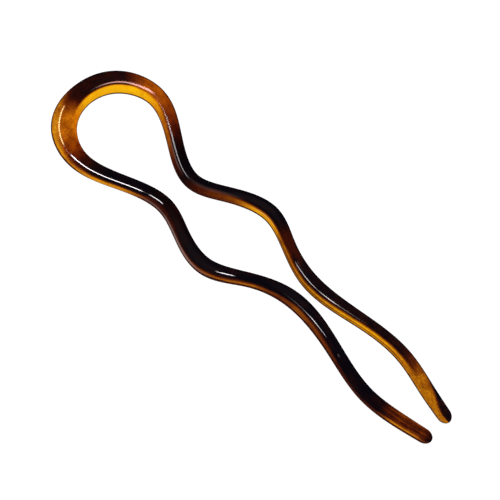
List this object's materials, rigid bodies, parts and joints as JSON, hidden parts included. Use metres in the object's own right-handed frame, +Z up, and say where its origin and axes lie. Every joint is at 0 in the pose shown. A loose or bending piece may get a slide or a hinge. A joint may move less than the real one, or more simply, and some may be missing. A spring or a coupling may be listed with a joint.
{
  "type": "french hair pin",
  "caption": "U-shaped hair pin with a rounded open head and two waved prongs, bowed lengthwise, in glossy tortoiseshell acetate.",
  "frame": {"origin": "on the surface that the pin rests on, under the middle of its length and halfway between the prongs", "axes": "+X along the pin from the head to the tips, +Y across the prongs, +Z up from the surface"},
  "size_m": [0.1158, 0.0326, 0.0072],
  "materials": {
    "tortoiseshell_acetate": "tumbled and polished cellulose acetate, amber with dark brown tortoiseshell patches"
  },
  "bodies": {
    "root": {"hair_pin": "tortoiseshell_acetate"}
  },
  "joints": []
}
